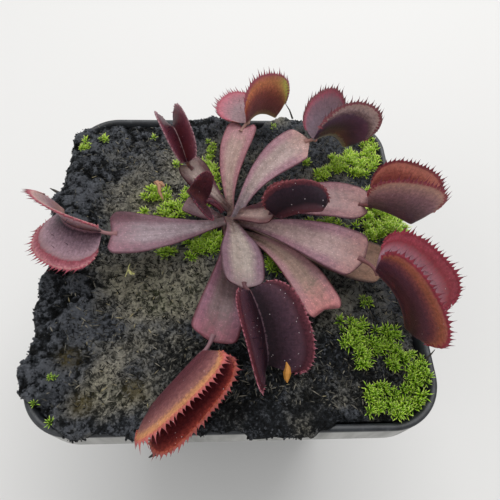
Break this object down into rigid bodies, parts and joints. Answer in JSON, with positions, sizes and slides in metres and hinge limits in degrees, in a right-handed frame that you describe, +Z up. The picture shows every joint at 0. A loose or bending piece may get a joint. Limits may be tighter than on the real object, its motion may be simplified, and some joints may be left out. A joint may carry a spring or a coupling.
{
  "type": "potted venus flytrap",
  "caption": "Carnivorous house plant: a rosette of winged stalks with toothed two-lobed traps, on mossy peat in a square tapered plastic nursery pot.",
  "frame": {"origin": "centre of the pot's base, on its underside", "axes": "+Z up out of the pot, -Y the front of the pot as seen in the picture, +X to its right"},
  "size_m": [0.1024, 0.0993, 0.1079],
  "materials": {
    "pot_plastic": "thin black moulded plastic, semi-gloss, dusty with peat",
    "peat": "damp dark peat, crumbly",
    "rhizome_flesh": "pale pink plant tissue",
    "stalk_leaf": "mauve leaf with a greyer midrib, satin",
    "old_stalk_leaf": "old brown leaf, matt",
    "trap_leaf": "maroon leaf with an orange-red toothed margin, satin sheen",
    "moss": "bright green moss shoots, matt"
  },
  "bodies": {
    "root": {"pot": "pot_plastic", "soil": "peat", "rhizome": "rhizome_flesh", "stalk_a": "stalk_leaf", "stalk_b": "stalk_leaf", "stalk_c": "stalk_leaf", "stalk_d": "stalk_leaf", "stalk_e": "stalk_leaf", "stalk_f": "stalk_leaf", "stalk_g": "stalk_leaf", "stalk_h": "stalk_leaf", "stalk_i": "stalk_leaf", "stalk_j": "stalk_leaf", "stalk_k": "old_stalk_leaf", "stalk_l": "old_stalk_leaf", "stalk_m": "stalk_leaf", "trap_a": "trap_leaf", "trap_b": "trap_leaf", "trap_c": "trap_leaf", "trap_d": "trap_leaf", "trap_e": "trap_leaf", "trap_f": "trap_leaf", "trap_g": "trap_leaf", "trap_i": "trap_leaf", "trap_j": "trap_leaf", "trap_m": "trap_leaf", "moss_front_right": "moss", "moss_front_corner": "moss", "moss_back_right": "moss", "moss_back_corner": "moss", "moss_crown_south_west": "moss", "moss_crown_north_west": "moss", "moss_crown_north": "moss", "moss_crown_south_east": "moss"}
  },
  "joints": []
}
